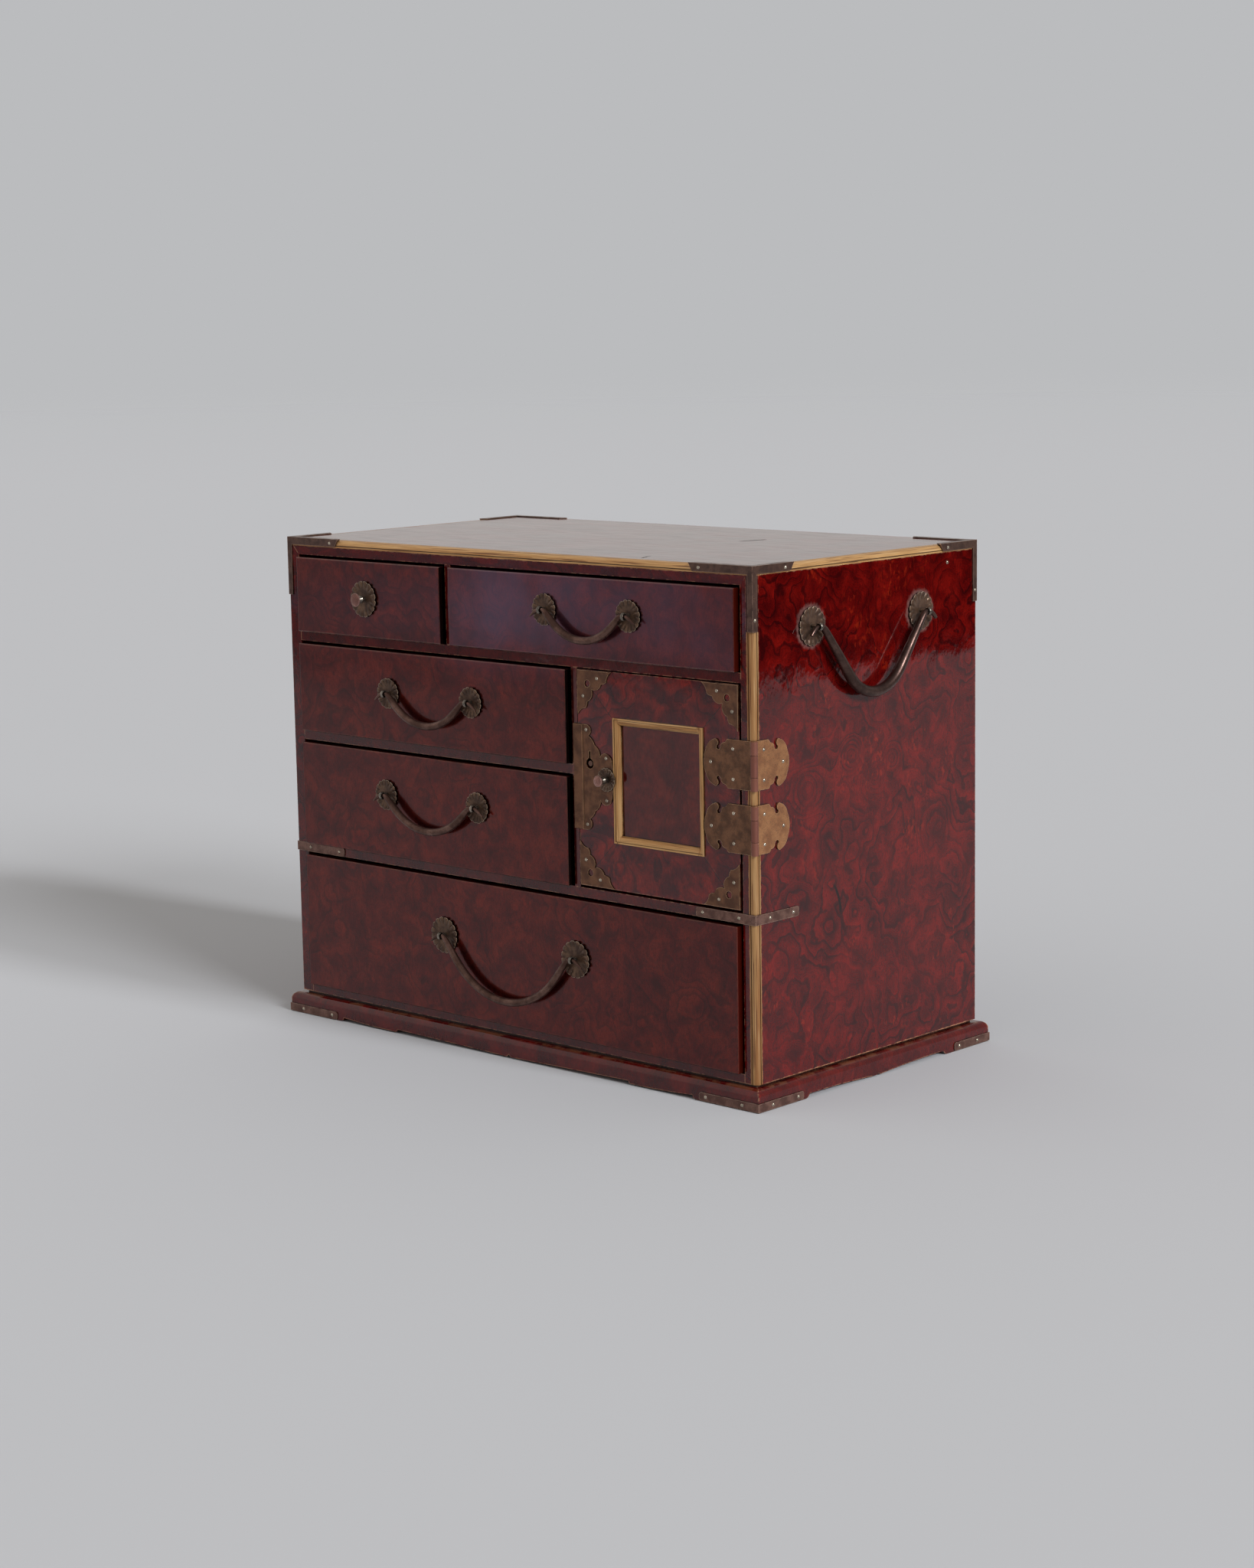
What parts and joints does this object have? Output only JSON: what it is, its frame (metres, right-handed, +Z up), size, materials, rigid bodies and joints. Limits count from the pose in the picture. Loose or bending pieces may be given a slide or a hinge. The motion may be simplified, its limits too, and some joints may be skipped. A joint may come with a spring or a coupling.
{
  "type": "small lacquered merchant's chest",
  "caption": "Lacquered wooden chest on a low plinth, with sliding drawers that have drop bails, a hinged and locking cupboard door, and a drop handle on each end",
  "frame": {"origin": "on the floor, under the middle of the whole object's bounding box", "axes": "+X to the right of someone who faces the drawers, +Y to the back, +Z up"},
  "size_m": [0.378, 0.21, 0.2871],
  "materials": {
    "case_lacquer": "clear glossy red lacquer over burl",
    "front_lacquer": "dark glossy maroon lacquer",
    "inner_wood": "plain planed softwood",
    "gilt": "worn gilt",
    "bronze_plate": "brown patinated sheet",
    "dark_bronze": "dark rubbed bronze",
    "nail_metal": "polished heads",
    "lock_iron": "filed iron"
  },
  "bodies": {
    "carcass": {"end_board_right": "case_lacquer", "end_board_left": "case_lacquer", "top_board": "case_lacquer", "bottom_board": "case_lacquer", "back_panel": "case_lacquer", "lower_shelf": "case_lacquer", "middle_shelf": "case_lacquer", "upper_shelf": "case_lacquer", "upper_divider": "case_lacquer", "partition": "case_lacquer", "lock_strike": "lock_iron", "edge_beads": "gilt", "plinth_front": "case_lacquer", "plinth_back": "case_lacquer", "plinth_left": "case_lacquer", "plinth_right": "case_lacquer", "top_corner_brackets": "bronze_plate", "waist_straps": "bronze_plate", "plinth_straps": "bronze_plate", "case_nails": "nail_metal", "hinge_end_leaves": "bronze_plate", "hinge_pins": "dark_bronze", "handle_mounts": "bronze_plate"},
    "upper_left_drawer": {"upper_left_drawer_front": "front_lacquer", "upper_left_drawer_sides": "inner_wood", "upper_left_drawer_bottom": "inner_wood", "upper_left_drawer_knob": "bronze_plate"},
    "upper_right_drawer": {"upper_right_drawer_front": "front_lacquer", "upper_right_drawer_sides": "inner_wood", "upper_right_drawer_bottom": "inner_wood", "upper_right_drawer_bail_mounts": "bronze_plate"},
    "upper_right_bail": {"upper_right_drawer_bail": "dark_bronze"},
    "middle_drawer": {"middle_drawer_front": "front_lacquer", "middle_drawer_sides": "inner_wood", "middle_drawer_bottom": "inner_wood", "middle_drawer_bail_mounts": "bronze_plate"},
    "middle_bail": {"middle_drawer_bail": "dark_bronze"},
    "lower_drawer": {"lower_drawer_front": "front_lacquer", "lower_drawer_sides": "inner_wood", "lower_drawer_bottom": "inner_wood", "lower_drawer_bail_mounts": "bronze_plate"},
    "lower_bail": {"lower_drawer_bail": "dark_bronze"},
    "bottom_drawer": {"bottom_drawer_front": "front_lacquer", "bottom_drawer_sides": "inner_wood", "bottom_drawer_bottom": "inner_wood", "bottom_drawer_bail_mounts": "bronze_plate"},
    "bottom_bail": {"bottom_drawer_bail": "dark_bronze"},
    "door": {"door_frame": "front_lacquer", "door_panel": "front_lacquer", "door_moulding": "gilt", "door_corner_plates": "bronze_plate", "lock_plate": "bronze_plate", "lock_cover_strip": "bronze_plate", "lock_case": "lock_iron", "door_knob": "bronze_plate", "hinge_door_leaves": "bronze_plate", "door_nails": "nail_metal"},
    "bolt": {"lock_bolt": "lock_iron"},
    "right_handle": {"right_handle": "dark_bronze"},
    "left_handle": {"left_handle": "dark_bronze"}
  },
  "joints": [
    {"name": "upper_left_drawer_slide", "type": "slide", "parent": "carcass", "child": "upper_left_drawer", "axis": [0, -1, 0], "range_m": [0, 0.13]},
    {"name": "upper_right_drawer_slide", "type": "slide", "parent": "carcass", "child": "upper_right_drawer", "axis": [0, -1, 0], "range_m": [0, 0.13]},
    {"name": "upper_right_bail_hinge", "type": "hinge", "parent": "upper_right_drawer", "child": "upper_right_bail", "pos_m": [0.06565, -0.10105, 0.25675], "axis": [-1, 0, 0], "range_deg": [0, 95]},
    {"name": "middle_drawer_slide", "type": "slide", "parent": "carcass", "child": "middle_drawer", "axis": [0, -1, 0], "range_m": [0, 0.13]},
    {"name": "middle_bail_hinge", "type": "hinge", "parent": "middle_drawer", "child": "middle_bail", "pos_m": [-0.0588, -0.10105, 0.20075], "axis": [-1, 0, 0], "range_deg": [0, 95]},
    {"name": "lower_drawer_slide", "type": "slide", "parent": "carcass", "child": "lower_drawer", "axis": [0, -1, 0], "range_m": [0, 0.13]},
    {"name": "lower_bail_hinge", "type": "hinge", "parent": "lower_drawer", "child": "lower_bail", "pos_m": [-0.0591, -0.10105, 0.14125], "axis": [-1, 0, 0], "range_deg": [0, 95]},
    {"name": "bottom_drawer_slide", "type": "slide", "parent": "carcass", "child": "bottom_drawer", "axis": [0, -1, 0], "range_m": [0, 0.13]},
    {"name": "bottom_bail_hinge", "type": "hinge", "parent": "bottom_drawer", "child": "bottom_bail", "pos_m": [0.0011, -0.10105, 0.0644], "axis": [-1, 0, 0], "range_deg": [0, 95]},
    {"name": "door_hinge", "type": "hinge", "parent": "carcass", "child": "door", "pos_m": [0.1808, -0.09405, 0.16635], "axis": [0, 0, 1], "range_deg": [0, 230]},
    {"name": "bolt_slide", "type": "slide", "parent": "door", "child": "bolt", "axis": [-1, 0, 0], "range_m": [0, 0.0035]},
    {"name": "right_handle_hinge", "type": "hinge", "parent": "carcass", "child": "right_handle", "pos_m": [0.186, 0.00035, 0.252], "axis": [0, -1, 0], "range_deg": [0, 120]},
    {"name": "left_handle_hinge", "type": "hinge", "parent": "carcass", "child": "left_handle", "pos_m": [-0.186, 0.00035, 0.252], "axis": [0, 1, 0], "range_deg": [0, 120]}
  ]
}
